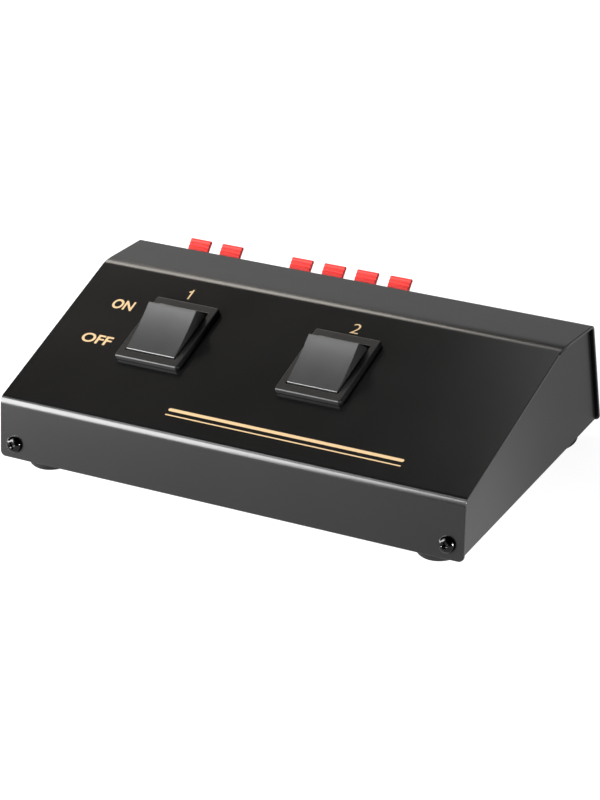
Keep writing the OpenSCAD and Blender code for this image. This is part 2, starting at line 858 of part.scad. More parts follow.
// Red wires that carry the input on to the middle tabs of the second switch
module link_wires() {
  color(wire_red)
    in_place()
      for (way = [-1, 1]) {
        x0 = switch_1_x + way * pole_x;
        x1 = switch_2_x + way * pole_x;
        low = tab_end + link_up;
        wire([under_switch(x0, way * tab_face, low),
          under_switch(x0, way * link_out, low),
          under_switch(x0 + link_run, way * link_lane, low),
          under_switch((x0 + x1) / 2, way * link_lane, low),
          under_switch(x1 - link_run, way * link_lane, low),
          under_switch(x1, way * link_out, low),
          under_switch(x1, way * tab_face, low)]);
      }
}

// Red wires from the front tabs of the switches to the output terminal
module output_wires() {
  color(wire_red)
    in_place()
      for (s = [0, 1])
        for (k = [0, 1]) {
          way = 2 * k - 1;
          x0 = [switch_1_x, switch_2_x][s] + way * (pole_x + tab_wide / 2 + wire_seat);
          x1 = column_x(output_x, 4, 2 * s + k);
          high = tab_end + output_up;
          lane = row_z + output_lane[1] + output_step * k;
          end = behind_tail(x1, wire_seat, 1);
          wire([under_switch(x0, -fixed_a, high),
            under_switch(x0 + way * output_side[0], output_out[0] - fixed_a, high),
            under_switch(x0 + way * output_side[1], output_out[1] - fixed_a, high),
            under_switch(x0 + way * output_side[1], output_out[2], high),
            under_switch(x0 + way * output_side[1], body_l / 2 + output_past, high),
            [x0 + (x1 - x0) * 0.3, tail_y - output_lane[0], lane],
            [x0 + (x1 - x0) * 0.85, tail_y - output_rise[0], lane + output_rise[1]],
            end - end_lead,
            end]);
        }
}

// Black wires that join the lower terminals of the same channel
module return_wires() {
  color(wire_black)
    in_place()
      for (k = [0, 1])
        for (stage = [0, 1]) {
          x0 = stage == 0 ? column_x(input_x, 2, k) : column_x(output_x, 4, k) + pair_gap / 2;
          x1 = stage == 0 ? column_x(output_x, 4, k) - pair_gap / 2 : column_x(output_x, 4, k + 2);
          start = behind_tail(x0, wire_seat, -1);
          end = behind_tail(x1, wire_seat, -1);
          lane = concat([0], return_lane[k]);
          lead = [0, return_lead, 0];
          run = [return_run, 0, 0];
          wire([start, start - lead, start + lane + run, end + lane - run, end - lead, end]);
        }
}

top_cover();
base_tray();
front_case_screws();
rear_case_screws();
foot(0);  // foot_front_left
foot(1);  // foot_front_right
foot(2);  // foot_rear_left
foot(3);  // foot_rear_right
foot_screws();
switch_housing(switch_1_x);  // switch_1_housing
rocker(switch_1_x);  // switch_1_rocker
plunger(switch_1_x, -1);  // switch_1_plunger_left
plunger(switch_1_x, 1);  // switch_1_plunger_right
spring(switch_1_x, -1);  // switch_1_spring_left
spring(switch_1_x, 1);  // switch_1_spring_right
blade(switch_1_x, -1);  // switch_1_blade_left
blade(switch_1_x, 1);  // switch_1_blade_right
switch_tabs(switch_1_x);  // switch_1_tabs
switch_housing(switch_2_x);  // switch_2_housing
rocker(switch_2_x);  // switch_2_rocker
plunger(switch_2_x, -1);  // switch_2_plunger_left
plunger(switch_2_x, 1);  // switch_2_plunger_right
spring(switch_2_x, -1);  // switch_2_spring_left
spring(switch_2_x, 1);  // switch_2_spring_right
blade(switch_2_x, -1);  // switch_2_blade_left
blade(switch_2_x, 1);  // switch_2_blade_right
switch_tabs(switch_2_x);  // switch_2_tabs
terminal_body(input_x, 2);  // input_terminal_body
terminal_body(output_x, 4);  // output_terminal_body
lever(input_x, 2, 0, 1, lever_red);  // input_lever_1_red
lever(input_x, 2, 1, 1, lever_red);  // input_lever_2_red
lever(input_x, 2, 0, -1, plastic_black);  // input_lever_1_black
lever(input_x, 2, 1, -1, plastic_black);  // input_lever_2_black
lever(output_x, 4, 0, 1, lever_red);  // output_lever_1_red
lever(output_x, 4, 1, 1, lever_red);  // output_lever_2_red
lever(output_x, 4, 2, 1, lever_red);  // output_lever_3_red
lever(output_x, 4, 3, 1, lever_red);  // output_lever_4_red
lever(output_x, 4, 0, -1, plastic_black);  // output_lever_1_black
lever(output_x, 4, 1, -1, plastic_black);  // output_lever_2_black
lever(output_x, 4, 2, -1, plastic_black);  // output_lever_3_black
lever(output_x, 4, 3, -1, plastic_black);  // output_lever_4_black
leaf(input_x, 2, 0, 1);  // input_leaf_1_red
leaf(input_x, 2, 1, 1);  // input_leaf_2_red
leaf(input_x, 2, 0, -1);  // input_leaf_1_black
leaf(input_x, 2, 1, -1);  // input_leaf_2_black
leaf(output_x, 4, 0, 1);  // output_leaf_1_red
leaf(output_x, 4, 1, 1);  // output_leaf_2_red
leaf(output_x, 4, 2, 1);  // output_leaf_3_red
leaf(output_x, 4, 3, 1);  // output_leaf_4_red
leaf(output_x, 4, 0, -1);  // output_leaf_1_black
leaf(output_x, 4, 1, -1);  // output_leaf_2_black
leaf(output_x, 4, 2, -1);  // output_leaf_3_black
leaf(output_x, 4, 3, -1);  // output_leaf_4_black
terminal_screws();
terminal_nuts();
feed_wires();
link_wires();
output_wires();
return_wires();
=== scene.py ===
# %% [markdown]
# # A speaker selector switch box, dressed
#
# The box is a folded steel cover over a folded steel tray. Two rocker switches sit in its sloping
# panel, and two rows of spring-lever wire terminals are screwed to its rear wall. The construction
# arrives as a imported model, which stays as it is. This script gives each surface its finish, adds
# what a camera sees and a machinist leaves out, and sets up the studio.
#
# Lengths are in metres, and `mm` turns a size in millimetres into metres.

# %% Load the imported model
import json
import math
import bpy
from mathutils import Matrix, Vector


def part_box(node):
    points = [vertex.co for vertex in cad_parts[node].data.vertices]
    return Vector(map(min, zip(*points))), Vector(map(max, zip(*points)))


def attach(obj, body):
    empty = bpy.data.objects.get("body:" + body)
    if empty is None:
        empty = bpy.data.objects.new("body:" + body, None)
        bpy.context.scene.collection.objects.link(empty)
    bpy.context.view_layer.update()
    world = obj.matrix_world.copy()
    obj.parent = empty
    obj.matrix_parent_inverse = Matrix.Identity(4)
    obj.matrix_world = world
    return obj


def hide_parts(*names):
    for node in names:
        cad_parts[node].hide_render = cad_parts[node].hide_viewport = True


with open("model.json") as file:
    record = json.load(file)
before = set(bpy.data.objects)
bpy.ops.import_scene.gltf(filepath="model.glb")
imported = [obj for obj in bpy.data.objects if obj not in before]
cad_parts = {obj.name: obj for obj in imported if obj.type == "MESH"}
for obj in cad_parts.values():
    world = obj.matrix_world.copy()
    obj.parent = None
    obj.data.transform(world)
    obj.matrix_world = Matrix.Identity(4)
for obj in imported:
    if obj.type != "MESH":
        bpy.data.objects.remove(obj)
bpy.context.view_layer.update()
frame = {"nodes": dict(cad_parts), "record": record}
nodes = frame["nodes"]
mm = 0.001

# %% [markdown]
# ## The camera
#
# The photograph looks down on the box from the front right with a long lens, so that edges which
# are parallel on the box stay nearly parallel in the picture, and the camera is rolled a little.
# The view is given the way a photographer would note it: where the lens points, from which side and
# height, how far away, and how much the camera is turned on its own axis.

# %% Place the camera
aim = Vector((0.845, -1.238, 18.047)) * mm
view_side = math.radians(34.3163)
view_height = math.radians(29.5418)
view_roll = math.radians(-6.5791)
view_distance = 1.13877
focal_length = 152.33
film_width = 36


def direction(side, height):
    """The way from the box towards something: side is 0 in front and grows to the right."""
    outward = math.cos(height)
    return Vector((math.sin(side) * outward, -math.cos(side) * outward, math.sin(height)))


def looking(side, height, roll=0.0):
    """The turn of a camera or lamp that looks at the box from there."""
    level = direction(side, height).to_track_quat("Z", "Y")
    return (level.to_matrix() @ Matrix.Rotation(roll, 3, "Z")).to_euler()


bpy.ops.object.camera_add(
    location=aim + view_distance * direction(view_side, view_height),
    rotation=looking(view_side, view_height, view_roll))
camera = bpy.context.object
camera.name = "camera"
camera.data.lens = focal_length
camera.data.sensor_width = film_width
camera.data.clip_start = 0.05
bpy.context.scene.camera = camera
print("camera at", [round(v, 3) for v in camera.location])

# %% [markdown]
# ## Shader maths
#
# A finish is a small network of nodes. Wiring it node by node hides what it means, so one class
# wraps a socket and lets plain arithmetic add the Math nodes, and one method makes any other node.

# %% A value in a shader and a finish that holds it


class Value:
    """A shader value. Arithmetic on it adds Math nodes to its finish."""

    def __init__(self, finish, socket):
        self.finish = finish
        self.socket = socket

    def maths(self, operation, first, second):
        """A Math node that takes the two."""
        return self.finish.node("ShaderNodeMath", {"operation": operation}, {0: first, 1: second})

    def __add__(self, other):
        return self.maths("ADD", self, other)

    def __radd__(self, other):
        return self.maths("ADD", other, self)

    def __sub__(self, other):
        return self.maths("SUBTRACT", self, other)

    def __mul__(self, other):
        return self.maths("MULTIPLY", self, other)


class Finish:
    """A material with one Principled shader, built from values."""

    socket_names = {
        "ior": "IOR",
        "specular": "Specular IOR Level",
        "coat": "Coat Weight",
        "glow": "Emission Color",
        "glow_strength": "Emission Strength",
    }

    def __init__(self, name):
        self.material = bpy.data.materials.new(name)
        self.material.use_nodes = True
        self.tree = self.material.node_tree
        self.shader = self.tree.nodes["Principled BSDF"]
        self.place = self.node("ShaderNodeTexCoord", {}, {}, output="Object")

    def node(self, kind, settings, inputs, output=0):
        """Adds a node, sets it, joins or fills its sockets, and gives one of its outputs."""
        made = self.tree.nodes.new(kind)
        for name, setting in settings.items():
            setattr(made, name, setting)
        self.fill(made, inputs)
        return Value(self, made.outputs[output])

    def fill(self, made, inputs):
        """Joins each input that is a shader value to its socket, and writes the others into theirs."""
        for name, value in inputs.items():
            if isinstance(value, Value):
                self.tree.links.new(value.socket, made.inputs[name])
            else:
                made.inputs[name].default_value = value

    def noise(self, size, detail=2.0, stretch=(1, 1, 1)):
        """Cloudy noise from 0 to 1 whose patches are about size across."""
        spot = self.node("ShaderNodeMapping", {}, {"Vector": self.place, "Scale": stretch})
        return self.node("ShaderNodeTexNoise", {}, {"Vector": spot, "Scale": 1 / size, "Detail": detail})

    def blend(self, share, low, high):
        """A colour between two others, which a Mix node keeps in its sockets 6 and 7."""
        return self.node("ShaderNodeMix", {"data_type": "RGBA"},
                         {"Factor": share, 6: (*low, 1), 7: (*high, 1)}, output=2)

    def bump(self, height, strength, depth, under=None):
        """A normal that rises and falls with height, by depth metres."""
        inputs = {"Height": height, "Strength": strength, "Distance": depth}
        if under:
            inputs["Normal"] = under
        return self.node("ShaderNodeBump", {}, inputs)

    def set(self, **sockets):
        """Fills the shader's sockets: base_color stands for Base Color."""
        for word, value in sockets.items():
            socket = self.socket_names.get(word, word.replace("_", " ").title())
            self.fill(self.shader, {socket: value})
        return self.material


# %% [markdown]
# ## Finishes
#
# The steel is powder coated: a dark satin film with a fine orange peel, so it keeps a soft mirror
# image of the studio. The switches and terminals are moulded in textured and in glossy plastic.
# Every finish gets its own grain at its real size, because a single flat colour looks like a toy.

# %% Powder coat and printing ink


def grey(level):
    return (level, level, level)


def tinted(colour, factor):
    """The colour made lighter or darker."""
    return tuple(min(1.0, part * factor) for part in colour)


def powder_coat(name, colour, roughness, ior):
    """Paint with a fine grain, an orange peel under it and a slow drift in how evenly it lies."""
    paint = Finish(name)
    peel = paint.noise(0.9 * mm, detail=2)
    grain = paint.noise(0.16 * mm, detail=3)
    drift = paint.noise(38 * mm, detail=2)
    shade = grain * 0.35 + drift * 0.65
    peeled = paint.bump(peel, strength=0.05, depth=0.05 * mm)
    return paint.set(
        base_color=paint.blend(shade, tinted(colour, 0.82), tinted(colour, 1.18)),
        roughness=roughness + (grain - 0.5) * 0.12 + (drift - 0.5) * 0.05,
        normal=paint.bump(grain, strength=0.10, depth=0.02 * mm, under=peeled),
        ior=ior)


def printed_ink(name, colour):
    """Screen-printed ink: matt, a little uneven in colour and gloss."""
    ink = Finish(name)
    grain = ink.noise(0.12 * mm, detail=3)
    return ink.set(
        base_color=ink.blend(grain, tinted(colour, 0.9), tinted(colour, 1.06)),
        roughness=0.45 + (grain - 0.5) * 0.2,
        normal=ink.bump(grain, strength=0.15, depth=0.01 * mm))


# %% Moulded plastic, rubber and metal


def moulded(name, colour, roughness, texture, texture_size=0.2 * mm, gloss=0.5, coat=0.0):
    """Plastic with the spark texture of its mould: texture is how deep that is, from 0 to 1."""
    plastic = Finish(name)
    spark = plastic.noise(texture_size, detail=4)
    flow = plastic.noise(6 * mm, detail=2, stretch=(1, 0.5, 1))
    return plastic.set(
        base_color=plastic.blend(spark * 0.5 + flow * 0.5, tinted(colour, 0.86), tinted(colour, 1.14)),
        roughness=roughness + (spark - 0.5) * 0.18 + (flow - 0.5) * 0.06,
        normal=plastic.bump(spark, strength=texture, depth=0.03 * mm),
        specular=gloss,
        coat=coat,
        coat_roughness=0.12)


def bare_metal(name, colour, roughness, brushed=(1, 1, 1)):
    """Plated or rolled metal: brushed squeezes the rolling marks along X, Y and Z."""
    metal = Finish(name)
    marks = metal.noise(0.22 * mm, detail=3, stretch=brushed)
    tarnish = metal.noise(3.5 * mm, detail=3)
    return metal.set(
        base_color=metal.blend(tarnish, tinted(colour, 0.78), tinted(colour, 1.08)),
        metallic=1.0,
        roughness=roughness + (marks - 0.5) * 0.22 + (tarnish - 0.5) * 0.12,
        normal=metal.bump(marks, strength=0.12, depth=0.01 * mm))


def soft_rubber(name, colour):
    """Open-pored rubber with some dust on it."""
    rubber = Finish(name)
    pores = rubber.noise(0.3 * mm, detail=4)
    dust = rubber.noise(5 * mm, detail=3)
    return rubber.set(
        base_color=rubber.blend(dust, colour, tinted(colour, 1.9)),
        roughness=0.80 + (pores - 0.5) * 0.2,
        specular=0.12,
        normal=rubber.bump(pores, strength=0.35, depth=0.05 * mm))


ivory = (0.55, 0.53, 0.46)
signal_red = (0.70, 0.028, 0.022)

finishes = {
    "case_paint": powder_coat("case_paint", grey(0.003), roughness=0.21, ior=1.365),
    "tray_paint": powder_coat("tray_paint", grey(0.012), roughness=0.30, ior=1.26),
    "legend_ink": printed_ink("legend_ink", (0.48, 0.33, 0.17)),
    "screw_black": bare_metal("screw_black", grey(0.020), roughness=0.14),
    "zinc_steel": bare_metal("zinc_steel", (0.60, 0.61, 0.62), roughness=0.30),
    "foot_rubber": soft_rubber("foot_rubber", grey(0.007)),
    "switch_plastic": moulded("switch_plastic", grey(0.005), roughness=0.36, texture=0.06, gloss=0.26),
    "rocker_plastic": moulded("rocker_plastic", grey(0.018), roughness=0.34, texture=0.55,
                              texture_size=0.32 * mm, gloss=0.9),
    "plunger_plastic": moulded("plunger_plastic", ivory, roughness=0.45, texture=0.05),
    "spring_steel": bare_metal("spring_steel", (0.55, 0.55, 0.56), roughness=0.25),
    "brass": bare_metal("brass", (0.72, 0.50, 0.20), roughness=0.30, brushed=(1, 8, 8)),
    "leaf_bronze": bare_metal("leaf_bronze", (0.70, 0.42, 0.22), roughness=0.28, brushed=(8, 1, 1)),
    "terminal_plastic": moulded("terminal_plastic", (0.014, 0.014, 0.015), roughness=0.42, texture=0.25),
    "lever_red": moulded("lever_red", signal_red, roughness=0.55, texture=0.03, gloss=0.25),
    "lever_black": moulded("lever_black", (0.018, 0.018, 0.019), roughness=0.26, texture=0.04, coat=0.25),
    "wire_red": moulded("wire_red", (0.42, 0.016, 0.012), roughness=0.38, texture=0.10,
                        texture_size=0.5 * mm),
    "wire_black": moulded("wire_black", grey(0.014), roughness=0.38, texture=0.10,
                          texture_size=0.5 * mm),
}
print("finishes:", len(finishes))

# %% [markdown]
# ## Modelling by hand, in code
#
# Each operator works on what is selected, so a few small helpers select one piece, or the faces of
# it that look one way, before an operator is called.

# %% Helpers for selecting, shaping and finishing
smooth_margin = 8


def take(piece):
    """Makes the piece the only selected and the active one, in object mode."""
    if bpy.context.object and bpy.context.object.mode != "OBJECT":
        bpy.ops.object.mode_set(mode="OBJECT")
    bpy.ops.object.select_all(action="DESELECT")
    piece.select_set(True)
    bpy.context.view_layer.objects.active = piece


def pick_faces(piece, wanted):
    """In edit mode: selects only the faces whose normal answers wanted(normal)."""
    bpy.ops.mesh.select_all(action="DESELECT")
    bpy.ops.object.mode_set(mode="OBJECT")
    for face in piece.data.polygons:
        face.select = wanted(face.normal)
    bpy.ops.object.mode_set(mode="EDIT")


def modify(piece, kind, **settings):
    """Adds a modifier and applies it."""
    take(piece)
    modifier = piece.modifiers.new(kind.lower(), kind)
    for name, setting in settings.items():
        setattr(modifier, name, setting)
    bpy.ops.object.modifier_apply(modifier=modifier.name)


def soften(piece, edge, steps=3, sharp=32):
    """Rounds the edges that are sharper than sharp degrees, and smooths the curves, not the flats."""
    modify(piece, "BEVEL", width=edge, segments=steps, limit_method="ANGLE",
           angle_limit=math.radians(sharp), use_clamp_overlap=False)
    take(piece)
    bpy.ops.object.shade_smooth_by_angle(angle=math.radians(sharp + smooth_margin))
    modify(piece, "WEIGHTED_NORMAL", keep_sharp=True)


def give(piece, slot, body, *replaced):
    """Gives the piece its finish and its body, and hides the nodes that it replaces."""
    piece.data.materials.clear()
    piece.data.materials.append(finishes[slot])
    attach(piece, body)
    if replaced:
        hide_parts(*replaced)
    print(piece.name, len(piece.data.polygons), "faces")


record = frame["record"]
slot_of = {part["node"]: part["material_slot"] for part in record["subparts"]}
bodies = record["behaviour"]["bodies"]
body_of = {node: body for body, members in bodies.items() for node in members}

# %% [markdown]
# ## Pieces whose shape is already right
#
# Sheet metal and moulded housings keep the construction's shape, but its edges are perfectly sharp,
# and a perfectly sharp edge never catches the light. Each is copied, its triangles are merged into
# whole faces, and its edges get the small round of folded, painted or moulded parts.

# %% Copy, merge and round the carried-over shapes
weld_distance = 0.002 * mm
flat_angle = math.radians(0.6)


def dress(node, name, edge, steps=3, reshape=None):
    """Copies the node, with whole faces and rounded edges. reshape may change it in between."""
    piece = bpy.data.objects.new(name, nodes[node].data.copy())
    bpy.context.collection.objects.link(piece)
    take(piece)
    bpy.ops.object.mode_set(mode="EDIT")
    bpy.ops.mesh.select_all(action="SELECT")
    bpy.ops.mesh.remove_doubles(threshold=weld_distance)
    bpy.ops.mesh.dissolve_limited(angle_limit=flat_angle)
    bpy.ops.object.mode_set(mode="OBJECT")
    if reshape:
        reshape(piece)
    soften(piece, edge, steps)
    give(piece, slot_of[node], body_of[node], node)


# %% [markdown]
# ## The folds of the cover
#
# Sheet that is bent on a press springs back a little, so a fold has no clean arc: it runs out softly
# into its flats. At the ridge, where the sheet is bent by 22 degrees, it is tight in front and runs
# out slowly behind. Those soft runs carry the broad lines of light in the photograph, so the outer
# skin is laid on a curve with one arm on each side of the corner. The sheet is cut across at steps of
# the curve by bisect, and the skin between them moves onto it, by 0.2 mm where it moves most. The
# corners are worked out again from the sizes of the cover's section.

# %% The cover's section
lip_lean = math.radians(13.7)
panel_tilt = math.radians(15.1)
top_fall = math.radians(6.9)
lip_length = 20.8 * mm
panel_length = 71.3 * mm
cover_front = -51.7926 * mm
cover_foot = 4.7 * mm
lip_foot = Vector((0, cover_front, cover_foot))
lip_up = Vector((0, math.sin(lip_lean), math.cos(lip_lean)))
lip_out = Vector((0, -math.cos(lip_lean), math.sin(lip_lean)))
panel_up = Vector((0, math.cos(panel_tilt), math.sin(panel_tilt)))
panel_out = Vector((0, -math.sin(panel_tilt), math.cos(panel_tilt)))
top_back = Vector((0, math.cos(top_fall), -math.sin(top_fall)))
front_fold = lip_foot + lip_length * lip_up
ridge = front_fold + panel_length * panel_up

# %% Soft folds
fold_steps = 12
halvings = 40
skin_depth = 0.6 * mm


class SoftFold:
    """A curve that leaves one flat at start, leans on the corner and joins the next flat at end."""

    def __init__(self, start, corner, end):
        self.points = (start, corner, end)
        self.along = (end - start).normalized()
        self.across = Vector((1, 0, 0)).cross(self.along)
        self.length = (end - start).dot(self.along)

    def at(self, share):
        """The curve's point at a share from 0 to 1."""
        start, corner, end = self.points
        return (1 - share) ** 2 * start + 2 * share * (1 - share) * corner + share ** 2 * end

    def share(self, station):
        """How far along the curve a station lies, by halving."""
        low_share, high_share = 0.0, 1.0
        for _ in range(halvings):
            middle = (low_share + high_share) / 2
            if (self.at(middle) - self.points[0]).dot(self.along) < station:
                low_share = middle
            else:
                high_share = middle
        return low_share

    def press(self, piece):
        """Cuts the sheet at the steps and lays its outer skin on the curve, but not its inner side."""
        take(piece)
        bpy.ops.object.mode_set(mode="EDIT")
        for step in range(fold_steps + 1):
            bpy.ops.mesh.select_all(action="SELECT")
            bpy.ops.mesh.bisect(plane_co=self.at(step / fold_steps), plane_no=self.along)
        bpy.ops.object.mode_set(mode="OBJECT")
        moved = 0
        for vertex in piece.data.vertices:
            station = (vertex.co - self.points[0]).dot(self.along)
            if 0 < station < self.length:
                lift = (self.at(self.share(station)) - vertex.co).dot(self.across)
                if abs(lift) < skin_depth:
                    vertex.co += lift * self.across
                    moved += 1
        print("points laid on a fold:", moved)


lip_run = 2.4 * mm
panel_front_run = 1.7 * mm
panel_rear_run = 1.8 * mm
top_run = 4.2 * mm
folds = [
    SoftFold(front_fold - lip_run * lip_up, front_fold, front_fold + panel_front_run * panel_up),
    SoftFold(ridge - panel_rear_run * panel_up, ridge, ridge + top_run * top_back),
]


def press_folds(piece):
    for fold in folds:
        fold.press(piece)


# %% Dress sheets, mouldings and feet
sheet_edge = 0.22 * mm
bezel_edge = 0.22 * mm
rocker_edge = 0.18 * mm
block_edge = 0.25 * mm
lever_edge = 0.16 * mm
foot_edge = 0.2 * mm
dress("top_cover", "cover_sheet", sheet_edge, reshape=press_folds)
dress("base_tray", "tray_sheet", sheet_edge)
for number in (1, 2):
    dress(f"switch_{number}_housing", f"switch_{number}_bezel", bezel_edge)
    dress(f"switch_{number}_rocker", f"switch_{number}_cap", rocker_edge)
for row in ("input", "output"):
    dress(f"{row}_terminal_body", f"{row}_terminal_block", block_edge)
for node in nodes:
    if "_lever_" in node:
        dress(node, node.replace("lever", "key"), lever_edge, steps=2)
for corner in ("front_left", "front_right", "rear_left", "rear_right"):
    dress(f"foot_{corner}", f"pad_{corner}", foot_edge)

# %% [markdown]
# ## Screws
#
# A pan-head screw has a domed head and a cross recess that narrows downwards. The head is a disc
# whose upper rim is bevelled into the dome, and the recess is cut by a tapered cross. It is
# modelled once, standing on the origin, and copied to each hole.

# %% Model one pan-head screw
head_radius = 2.9 * mm
head_height = 1.92 * mm
dome_round = 1.6 * mm
head_edge = 0.08 * mm
recess_reach = 1.75 * mm
recess_width = 0.85 * mm
recess_depth = 1.25 * mm
recess_taper = 0.45


def cross_cutter():
    """Two crossed wedges that narrow downwards, with their tops above the head."""
    arms = []
    for turn in (0, math.pi / 2):
        bpy.ops.mesh.primitive_cube_add(size=1, location=(0, 0, head_height))
        arm = bpy.context.object
        arm.scale = (2 * recess_reach, recess_width, 2 * recess_depth)
        arm.rotation_euler = (0, 0, turn)
        take(arm)
        bpy.ops.object.transform_apply(location=True, rotation=True, scale=True)
        bpy.ops.object.mode_set(mode="EDIT")
        pick_faces(arm, lambda normal: normal.z < -0.9)
        bpy.ops.transform.resize(value=(recess_taper, recess_taper, 1))
        bpy.ops.object.mode_set(mode="OBJECT")
        arms.append(arm)
    modify(arms[0], "BOOLEAN", operation="UNION", object=arms[1])
    bpy.data.objects.remove(arms[1])
    return arms[0]


def pan_head():
    """A domed head with its recess, its foot on the origin."""
    bpy.ops.object.select_all(action="DESELECT")
    bpy.ops.mesh.primitive_cylinder_add(vertices=48, radius=head_radius, depth=head_height,
                                        location=(0, 0, head_height / 2))
    head = bpy.context.object
    take(head)
    bpy.ops.object.transform_apply(location=True)
    bpy.ops.object.mode_set(mode="EDIT")
    pick_faces(head, lambda normal: normal.z > 0.9)
    bpy.ops.mesh.region_to_loop()
    bpy.ops.mesh.bevel(offset=dome_round, segments=10, profile=0.5, affect="EDGES")
    bpy.ops.object.mode_set(mode="OBJECT")
    cutter = cross_cutter()
    modify(head, "BOOLEAN", operation="DIFFERENCE", object=cutter)
    bpy.data.objects.remove(cutter)
    return head


screw_pattern = pan_head()
soften(screw_pattern, head_edge, steps=2, sharp=30)
print("pan head:", len(screw_pattern.data.polygons), "faces")

# %% [markdown]
# ## Seating the screws
#
# Each screw stands square on the face that it holds, turned the way it happened to stop. Only the
# heads are new. The shanks stay hidden in their holes, so one plain cylinder under each head does.

# %% Copy the screw in a row
shank_radius = 1.4 * mm
shank_length = 5 * mm
shank_middle = 2.4 * mm


def screw_row(name, slot, node, out, places):
    """Screws that point out. places holds the foot of each head and the screw's turn in radians."""
    facing = out.to_track_quat("Z", "Y").to_matrix().to_4x4()
    solids = []
    for foot, turn in places:
        turned = facing @ Matrix.Rotation(turn, 4, "Z")
        head = screw_pattern.copy()
        head.data = screw_pattern.data.copy()
        bpy.context.collection.objects.link(head)
        head.data.transform(Matrix.Translation(foot) @ turned)
        bpy.ops.object.select_all(action="DESELECT")
        bpy.ops.mesh.primitive_cylinder_add(vertices=24, radius=shank_radius, depth=shank_length)
        shank = bpy.context.object
        shank.data.transform(Matrix.Translation(foot - shank_middle * out) @ turned)
        solids += [head, shank]
    take(solids[0])
    for solid in solids:
        solid.select_set(True)
    bpy.ops.object.join()
    row = bpy.context.object
    row.name = name
    give(row, slot, "case", node)


# %% Case screws
backwards = Vector((0, 1, 0))
rear_wall = 44.3089 * mm
screw_x = 84 * mm
screw_rise = 5.1 * mm
front_holes = [Vector((x, 0, 0)) + lip_foot + screw_rise * lip_up for x in (-screw_x, screw_x)]
rear_holes = [Vector((x, rear_wall, cover_foot + screw_rise)) for x in (-screw_x, screw_x)]
screw_row("front_screws", "screw_black", "front_case_screws", lip_out, zip(front_holes, (0.5, 0.2)))
screw_row("rear_screws", "screw_black", "rear_case_screws", backwards, zip(rear_holes, (0.9, 0.3)))

# %% Screws of the terminals and the feet: places in millimetres, then the turn
low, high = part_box("terminal_screws")
row_height = (low.z + high.z) / 2
plate_thickness = 2.2 * mm
ears = [(-80.6, 0.4), (-46.6, 1.1), (-38.4, 0.1), (22.0, 0.7)]
screw_row("block_screws", "zinc_steel", "terminal_screws", backwards,
          [(Vector((x * mm, rear_wall + plate_thickness, row_height)), turn) for x, turn in ears])
downwards = Vector((0, 0, -1))
foot_sink = 2.8 * mm
feet = [(-75.8, -40.79, 0.2), (75.8, -40.79, 1.0), (-77.8, 32.51, 0.6), (77.8, 32.51, 0.9)]
screw_row("pad_screws", "zinc_steel", "foot_screws", downwards,
          [(Vector((x * mm, y * mm, foot_sink)), turn) for x, y, turn in feet])
bpy.data.objects.remove(screw_pattern)

# %% [markdown]
# ## Inner pieces
#
# The contacts, springs, plungers and wires sit inside the closed case and the moulded housings. Their
# construction is already true, so they keep it and only get their metal and plastic.

# %% Finish what stays as it came
for name, node in nodes.items():
    if not node.hide_render:
        for slot in node.material_slots:
            slot.link = "OBJECT"
            slot.material = finishes[slot_of[name]]
print("kept as they came:", sum(not node.hide_render for node in nodes.values()))

# %% [markdown]
# ## Legends
#
# The legends are printed on the panel. A text object gives the letters, its outline is fattened or
# thinned to the weight of the print, and it becomes a mesh that lies a hair above the paint. The 1
# and the pair of pin stripes start as flat plates.

# %% Print on the panel
ink_height = 0.03 * mm


def lay_on_panel(piece, x, up):
    """Moves a flat piece from the origin onto the panel: x across it, up its slope from the front."""
    turn = Matrix((Vector((1, 0, 0)), panel_up, panel_out)).transposed().to_4x4()
    spot = Vector((x, 0, 0)) + front_fold + up * panel_up + ink_height * panel_out
    piece.data.transform(Matrix.Translation(spot) @ turn)


def legend(name, letters, x, up, width, height, weight):
    """Letters whose middle is at x and up, fitted into width and height."""
    bpy.ops.object.select_all(action="DESELECT")
    bpy.ops.object.text_add()
    text = bpy.context.object
    text.data.body = letters
    text.data.offset = weight
    text.data.resolution_u = 6
    bpy.ops.object.convert(target="MESH")
    text.name = name
    corners = [vertex.co for vertex in text.data.vertices]
    low_corner = Vector([min(corner[axis] for corner in corners) for axis in range(3)])
    high_corner = Vector([max(corner[axis] for corner in corners) for axis in range(3)])
    size = high_corner - low_corner
    text.data.transform(Matrix.Translation(-(low_corner + high_corner) / 2))
    text.data.transform(Matrix.Diagonal((width / size.x, height / size.y, 1, 1)))
    lay_on_panel(text, x, up)
    give(text, "legend_ink", "case")


def flat_plate(name, width, height):
    """A rectangle round the origin, left in edit mode with all of it selected."""
    bpy.ops.object.select_all(action="DESELECT")
    bpy.ops.mesh.primitive_plane_add(size=1)
    plate = bpy.context.object
    plate.name = name
    plate.scale = (width, height, 1)
    take(plate)
    bpy.ops.object.transform_apply(scale=True)
    bpy.ops.object.mode_set(mode="EDIT")
    bpy.ops.mesh.select_all(action="SELECT")
    return plate


def stripe(name, x, up, width, height):
    """A stripe whose ends are rounded to almost half its height."""
    band = flat_plate(name, width, height)
    bpy.ops.mesh.bevel(offset=height * 0.49, segments=8, affect="VERTICES")
    bpy.ops.object.mode_set(mode="OBJECT")
    lay_on_panel(band, x, up)
    give(band, "legend_ink", "case")


flag_top = 0.15
flag_foot = 0.28
flag_drop = 0.06


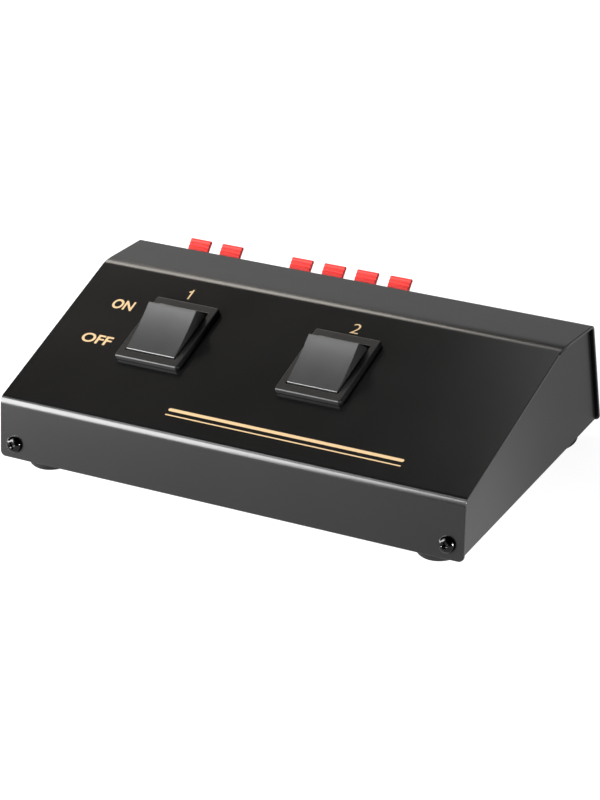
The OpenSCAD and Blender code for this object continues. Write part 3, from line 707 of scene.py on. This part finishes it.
def numeral_one(name, x, up, height, stroke, flag):
    """A plain upright 1: a stem whose left edge is drawn out into a flag between two cuts."""
    one = flat_plate(name, stroke, height)
    for cut in (flag_top, flag_foot):
        bpy.ops.mesh.bisect(plane_co=(0, (0.5 - cut) * height, 0), plane_no=(0, 1, 0))
        bpy.ops.mesh.select_all(action="SELECT")
    bpy.ops.mesh.select_all(action="DESELECT")
    bpy.ops.object.mode_set(mode="OBJECT")
    for edge in one.data.edges:
        first, second = (one.data.vertices[index].co for index in edge.vertices)
        middle = (first + second) / 2
        between = (0.5 - flag_foot) * height < middle.y < (0.5 - flag_top) * height
        edge.select = first.x < 0 and second.x < 0 and between
    bpy.ops.object.mode_set(mode="EDIT")
    bpy.ops.mesh.select_mode(type="EDGE")
    bpy.ops.mesh.extrude_edges_move(TRANSFORM_OT_translate={"value": (-flag, -flag_drop * height, 0)})
    bpy.ops.object.mode_set(mode="OBJECT")
    lay_on_panel(one, x, up)
    give(one, "legend_ink", "case")


numeral_one("legend_1", x=-49.4 * mm, up=62.7 * mm, height=4.7 * mm, stroke=0.6 * mm, flag=0.9 * mm)
legend("legend_2", "2", x=17.0 * mm, up=62.1 * mm, width=3.2 * mm, height=4.6 * mm, weight=-0.008)
legend("legend_on", "ON", x=-71.0 * mm, up=52.0 * mm, width=8.5 * mm, height=4.6 * mm, weight=0.026)
legend("legend_off", "OFF", x=-71.2 * mm, up=34.3 * mm, width=12.0 * mm, height=4.4 * mm, weight=0.022)
stripe("stripe_broad", x=17.2 * mm, up=10.6 * mm, width=90 * mm, height=1.3 * mm)
stripe("stripe_fine", x=17.2 * mm, up=8.2 * mm, width=90 * mm, height=0.5 * mm)

# %% [markdown]
# ## The studio
#
# The photograph has a white table and white paper, which light the lip and the sides from below,
# while the sky over the sloping panel is dark, so that the glossy paint there looks nearly black.
# Each line and sheen on the box then has its own lamp. At the front left, a tall softbox draws the
# bright line along the front fold, a low one lights the lip and a high one the rockers. Behind, one
# draws the line along the ridge, and two weak ones give the top strip and the sloping panel their
# sheen. A small spot at the right brightens the front corner of the side.

# %% Floor and backdrop
bpy.ops.object.select_all(action="DESELECT")
bpy.ops.mesh.primitive_plane_add(size=12, location=(0, 0, 0))
floor = bpy.context.object
floor.name = "floor"
paper = Finish("paper")
fibre = paper.noise(1.5 * mm, detail=3)
floor.data.materials.append(paper.set(
    base_color=paper.blend(fibre, grey(0.19), grey(0.23)),
    roughness=0.9,
    glow=(1, 1, 1, 1),
    glow_strength=0.95))

# %% Lamps


def softbox(name, side, height, distance, width, length, glow, colour=(1, 1, 1), target=aim, spread=180):
    """A rectangular lamp that looks at the target from there, glow times as bright as white paper."""
    side, height = math.radians(side), math.radians(height)
    bpy.ops.object.light_add(type="AREA", location=target + distance * direction(side, height),
                             rotation=looking(side, height))
    lamp = bpy.context.object
    lamp.name = name
    lamp.data.shape = "RECTANGLE"
    lamp.data.size = width
    lamp.data.size_y = length
    lamp.data.energy = math.pi * width * length * glow
    lamp.data.color = colour
    lamp.data.spread = math.radians(spread)


warm_white = (1, 0.94, 0.86)
side_corner = Vector((89, -45, 10)) * mm
softbox("lamp_fold", side=-40, height=22, distance=1.1, width=0.46, length=0.68, glow=34)
softbox("lamp_cap", side=-52, height=52, distance=1.2, width=0.30, length=0.20, glow=16)
softbox("lamp_front", side=-60, height=2, distance=0.7, width=0.48, length=0.12, glow=36)
softbox("lamp_ridge", side=-136, height=34, distance=2.4, width=0.90, length=0.50, glow=8.2,
        colour=warm_white)
softbox("lamp_back", side=-150, height=16, distance=1.4, width=1.2, length=0.40, glow=0.78)
softbox("lamp_sky", side=-166, height=56, distance=1.0, width=0.50, length=0.50, glow=2.0)
softbox("lamp_side", side=88, height=5, distance=0.20, width=0.06, length=0.06, glow=7.5,
        target=side_corner, spread=30)

# %% Dim light from all round
room_glow = 0.035
world = bpy.data.worlds.new("studio")
bpy.context.scene.world = world
world.use_nodes = True
world.node_tree.nodes["Background"].inputs["Color"].default_value = (1, 1, 1, 1)
world.node_tree.nodes["Background"].inputs["Strength"].default_value = room_glow
bpy.context.scene.view_settings.view_transform = "Standard"

# %% [markdown]
# ## Closing
#
# At the end, nothing is left selected.

# %% Clear the selection
bpy.ops.object.select_all(action="DESELECT")
